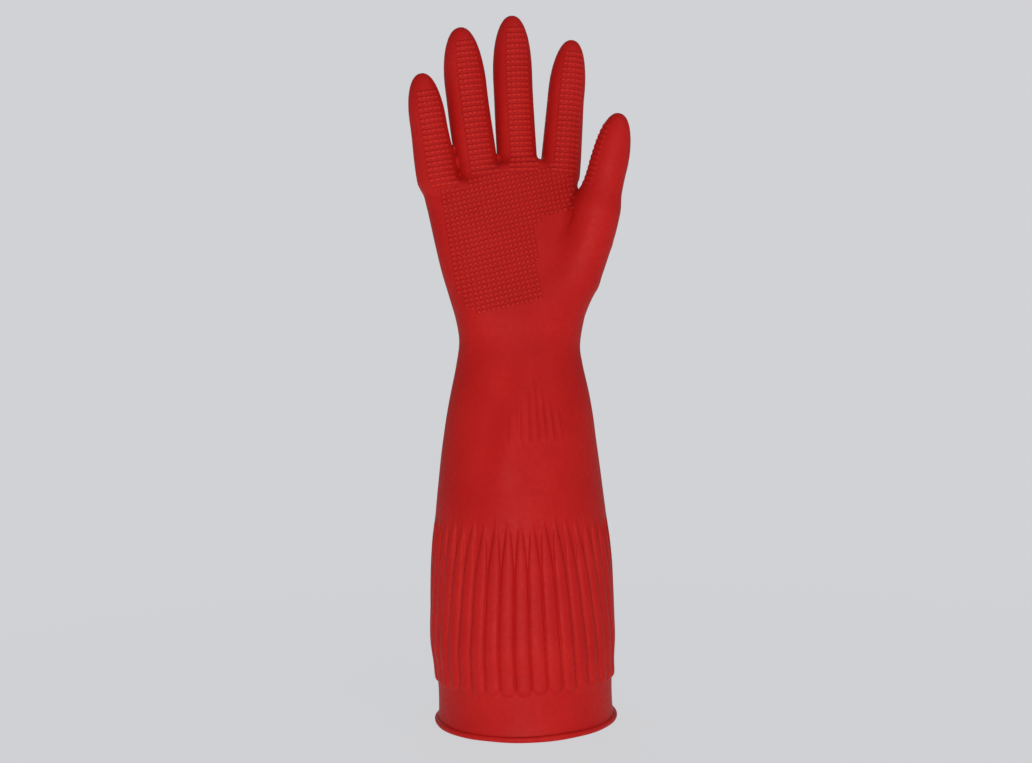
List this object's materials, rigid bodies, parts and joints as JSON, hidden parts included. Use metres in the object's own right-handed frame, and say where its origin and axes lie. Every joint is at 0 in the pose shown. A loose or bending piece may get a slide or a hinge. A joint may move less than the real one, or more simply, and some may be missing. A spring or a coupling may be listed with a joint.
{
  "type": "rubber glove",
  "caption": "Long-cuff household rubber glove for the right hand, with a fluted cuff, a rolled bead and a flock lining; the wrist, fingers and thumb bend.",
  "frame": {"origin": "centre of the cuff's mouth, on the plane of its rim", "axes": "+Z from the cuff's mouth towards the fingertips, +X towards the thumb's side, -Y out of the palm"},
  "size_m": [0.1297, 0.1098, 0.4178],
  "materials": {
    "red_rubber": "satin",
    "cotton_flock": "matt fibres"
  },
  "bodies": {
    "sleeve": {"cuff_bead": "red_rubber", "hem_band": "red_rubber", "fluted_cuff": "red_rubber", "gauntlet": "red_rubber", "sleeve_lining": "cotton_flock", "wrist_fold": "red_rubber"},
    "hand": {"hand_shell": "red_rubber", "hand_lining": "cotton_flock", "little_root_fold": "red_rubber", "ring_root_fold": "red_rubber", "middle_root_fold": "red_rubber", "index_root_fold": "red_rubber", "thumb_root_fold": "red_rubber"},
    "little_base_part": {"little_base": "red_rubber", "little_base_lining": "cotton_flock", "little_middle_fold": "red_rubber"},
    "little_middle_part": {"little_middle": "red_rubber", "little_middle_lining": "cotton_flock", "little_tip_fold": "red_rubber"},
    "little_tip_part": {"little_tip": "red_rubber", "little_tip_lining": "cotton_flock"},
    "ring_base_part": {"ring_base": "red_rubber", "ring_base_lining": "cotton_flock", "ring_middle_fold": "red_rubber"},
    "ring_middle_part": {"ring_middle": "red_rubber", "ring_middle_lining": "cotton_flock", "ring_tip_fold": "red_rubber"},
    "ring_tip_part": {"ring_tip": "red_rubber", "ring_tip_lining": "cotton_flock"},
    "middle_base_part": {"middle_base": "red_rubber", "middle_base_lining": "cotton_flock", "middle_middle_fold": "red_rubber"},
    "middle_middle_part": {"middle_middle": "red_rubber", "middle_middle_lining": "cotton_flock", "middle_tip_fold": "red_rubber"},
    "middle_tip_part": {"middle_tip": "red_rubber", "middle_tip_lining": "cotton_flock"},
    "index_base_part": {"index_base": "red_rubber", "index_base_lining": "cotton_flock", "index_middle_fold": "red_rubber"},
    "index_middle_part": {"index_middle": "red_rubber", "index_middle_lining": "cotton_flock", "index_tip_fold": "red_rubber"},
    "index_tip_part": {"index_tip": "red_rubber", "index_tip_lining": "cotton_flock"},
    "thumb_base_part": {"thumb_base": "red_rubber", "thumb_base_lining": "cotton_flock", "thumb_tip_fold": "red_rubber"},
    "thumb_tip_part": {"thumb_tip": "red_rubber", "thumb_tip_lining": "cotton_flock"}
  },
  "joints": [
    {"name": "wrist", "type": "hinge", "parent": "sleeve", "child": "hand", "pos_m": [0.0018, 0, 0.23], "axis": [1, 0, 0], "range_deg": [-60, 60], "stiffness_Nm_per_rad": 0.3, "deforming": ["wrist_fold"]},
    {"name": "little_root_bend", "type": "hinge", "parent": "hand", "child": "little_base_part", "pos_m": [-0.04718, -0.00323, 0.33484], "axis": [0.9871, 0, 0.1599], "range_deg": [-15, 60], "stiffness_Nm_per_rad": 0.03, "deforming": ["little_root_fold"]},
    {"name": "little_middle_bend", "type": "hinge", "parent": "little_base_part", "child": "little_middle_part", "pos_m": [-0.05009, -0.00451, 0.35286], "axis": [0.9871, 0, 0.1599], "range_deg": [0, 60], "stiffness_Nm_per_rad": 0.02, "deforming": ["little_middle_fold"]},
    {"name": "little_tip_bend", "type": "hinge", "parent": "little_middle_part", "child": "little_tip_part", "pos_m": [-0.05271, -0.00711, 0.36905], "axis": [0.9871, 0, 0.1599], "range_deg": [0, 40], "stiffness_Nm_per_rad": 0.01, "deforming": ["little_tip_fold"]},
    {"name": "ring_root_bend", "type": "hinge", "parent": "hand", "child": "ring_base_part", "pos_m": [-0.02301, -0.00151, 0.34337], "axis": [0.9919, 0, 0.1271], "range_deg": [-15, 65], "stiffness_Nm_per_rad": 0.03, "deforming": ["ring_root_fold"]},
    {"name": "ring_middle_bend", "type": "hinge", "parent": "ring_base_part", "child": "ring_middle_part", "pos_m": [-0.02587, -0.00268, 0.36566], "axis": [0.9919, 0, 0.1271], "range_deg": [0, 70], "stiffness_Nm_per_rad": 0.02, "deforming": ["ring_middle_fold"]},
    {"name": "ring_tip_bend", "type": "hinge", "parent": "ring_middle_part", "child": "ring_tip_part", "pos_m": [-0.02864, -0.00575, 0.38727], "axis": [0.9919, 0, 0.1271], "range_deg": [0, 45], "stiffness_Nm_per_rad": 0.01, "deforming": ["ring_tip_fold"]},
    {"name": "middle_root_bend", "type": "hinge", "parent": "hand", "child": "middle_base_part", "pos_m": [0.00299, -0.00071, 0.34547], "axis": [0.999, 0, 0.0454], "range_deg": [-15, 65], "stiffness_Nm_per_rad": 0.03, "deforming": ["middle_root_fold"]},
    {"name": "middle_middle_bend", "type": "hinge", "parent": "middle_base_part", "child": "middle_middle_part", "pos_m": [0.00193, -0.00193, 0.36871], "axis": [0.999, 0, 0.0454], "range_deg": [0, 70], "stiffness_Nm_per_rad": 0.02, "deforming": ["middle_middle_fold"]},
    {"name": "middle_tip_bend", "type": "hinge", "parent": "middle_middle_part", "child": "middle_tip_part", "pos_m": [0.00087, -0.00522, 0.39216], "axis": [0.999, 0, 0.0454], "range_deg": [0, 45], "stiffness_Nm_per_rad": 0.01, "deforming": ["middle_tip_fold"]},
    {"name": "index_root_bend", "type": "hinge", "parent": "hand", "child": "index_base_part", "pos_m": [0.03129, -0.00185, 0.34443], "axis": [0.9962, 0, -0.0872], "range_deg": [-15, 65], "stiffness_Nm_per_rad": 0.03, "deforming": ["index_root_fold"]},
    {"name": "index_middle_bend", "type": "hinge", "parent": "index_base_part", "child": "index_middle_part", "pos_m": [0.03316, -0.00298, 0.36582], "axis": [0.9962, 0, -0.0872], "range_deg": [0, 70], "stiffness_Nm_per_rad": 0.02, "deforming": ["index_middle_fold"]},
    {"name": "index_tip_bend", "type": "hinge", "parent": "index_middle_part", "child": "index_tip_part", "pos_m": [0.03488, -0.00576, 0.38555], "axis": [0.9962, 0, -0.0872], "range_deg": [0, 45], "stiffness_Nm_per_rad": 0.01, "deforming": ["index_tip_fold"]},
    {"name": "thumb_root_bend", "type": "hinge", "parent": "hand", "child": "thumb_base_part", "pos_m": [0.04962, -0.02039, 0.31289], "axis": [-0.5824, 0.7493, 0.3151], "range_deg": [-35, 10], "stiffness_Nm_per_rad": 0.03, "deforming": ["thumb_root_fold"]},
    {"name": "thumb_tip_bend", "type": "hinge", "parent": "thumb_base_part", "child": "thumb_tip_part", "pos_m": [0.055, -0.02497, 0.33372], "axis": [-0.5824, 0.7493, 0.3151], "range_deg": [-50, 0], "stiffness_Nm_per_rad": 0.01, "deforming": ["thumb_tip_fold"]}
  ]
}
